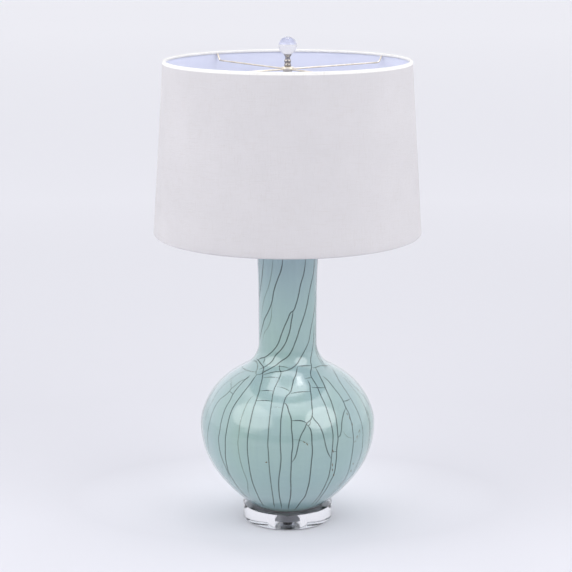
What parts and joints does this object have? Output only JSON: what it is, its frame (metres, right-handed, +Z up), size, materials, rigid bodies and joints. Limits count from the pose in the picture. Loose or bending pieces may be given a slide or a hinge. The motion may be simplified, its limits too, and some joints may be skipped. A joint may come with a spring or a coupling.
{
  "type": "ceramic sphere table lamp",
  "caption": "Table lamp with a crackle-glazed celadon globe vase on a clear disc base, a tapered linen drum shade on a harp, and a clear ball finial.",
  "frame": {"origin": "on the table at the lamp's own axis, in the plane of the bumper pads' undersides", "axes": "+Z up along the lamp pipe, -Y to the front, +X to the right where the switch knob points"},
  "size_m": [0.4442, 0.4442, 0.8215],
  "materials": {
    "glaze": "high gloss, crackled",
    "clear_acrylic": "polished",
    "clear_pad": "satin",
    "black_nylon": "satin",
    "zinc_steel": "satin",
    "dark_steel": "black oxide",
    "gasket_foam": "matte",
    "nickel": "polished",
    "brass_shell": "bright",
    "liner_paper": "matte",
    "black_phenolic": "moulded",
    "contact_brass": "bright",
    "bulb_aluminium": "satin",
    "bulb_glass_insulator": "gloss",
    "frosted_glass": "frosted",
    "solder": "satin",
    "spider_nickel": "warm nickel",
    "liner_white": "smooth white",
    "linen": "off-white linen",
    "finial_nickel": "polished",
    "crystal": "polished"
  },
  "bodies": {
    "root": {"bumper_feet": "clear_pad", "acrylic_base": "clear_acrylic", "cord_bushing": "black_nylon", "base_washer": "zinc_steel", "base_lock_washer": "zinc_steel", "base_hex_nut": "dark_steel", "foot_gasket": "gasket_foam", "ceramic_vase": "glaze", "ceramic_neck": "glaze", "lamp_pipe": "zinc_steel", "neck_centering_ring": "zinc_steel", "vase_cap": "nickel", "neck_spacer": "nickel", "cap_lock_nut": "nickel", "harp_saddle": "nickel", "socket_cap": "brass_shell", "socket_set_screw": "dark_steel", "socket_shell": "brass_shell", "socket_liner": "liner_paper", "switch_body": "black_phenolic", "terminal_screws": "contact_brass", "thread_shell": "contact_brass", "centre_contact": "contact_brass"},
    "switch": {"switch_shaft": "contact_brass", "switch_knob": "black_phenolic"},
    "bulb": {"bulb_contact": "solder", "bulb_insulator": "bulb_glass_insulator", "bulb_base": "bulb_aluminium", "bulb_glass": "frosted_glass"},
    "harp_loop": {"harp": "nickel"},
    "sleeve_front": {"harp_sleeve_front": "nickel"},
    "sleeve_back": {"harp_sleeve_back": "nickel"},
    "stud": {"harp_stud": "nickel"},
    "shade": {"spider_fitter": "spider_nickel", "bottom_ring": "spider_nickel", "shade_liner": "liner_white", "shade_fabric": "linen"},
    "finial": {"finial_stem": "finial_nickel", "finial_ball": "crystal"}
  },
  "joints": [
    {"name": "switch_turn", "type": "hinge", "parent": "root", "child": "switch", "pos_m": [0.0225, 0, 0.5375], "axis": [1, 0, 0], "continuous": true},
    {"name": "bulb_unscrew", "type": "slide", "parent": "root", "child": "bulb", "axis": [0, 0, 1], "range_m": [0, 0.04]},
    {"name": "harp_lift", "type": "slide", "parent": "root", "child": "harp_loop", "axis": [0, 0, 1], "range_m": [0, 0.02]},
    {"name": "sleeve_front_slide", "type": "slide", "parent": "harp_loop", "child": "sleeve_front", "axis": [0, 0, 1], "range_m": [0, 0.012]},
    {"name": "sleeve_back_slide", "type": "slide", "parent": "harp_loop", "child": "sleeve_back", "axis": [0, 0, 1], "range_m": [0, 0.012]},
    {"name": "stud_swivel", "type": "hinge", "parent": "harp_loop", "child": "stud", "pos_m": [0, 0, 0.767], "axis": [0, 0, 1], "continuous": true},
    {"name": "shade_lift", "type": "slide", "parent": "stud", "child": "shade", "axis": [0, 0, 1], "range_m": [0, 0.3]},
    {"name": "finial_unscrew", "type": "slide", "parent": "stud", "child": "finial", "axis": [0, 0, 1], "range_m": [0, 0.36]}
  ],
  "couplings": [
    {"joint": "finial_unscrew", "follows": "shade_lift", "ratio": 1.2}
  ]
}
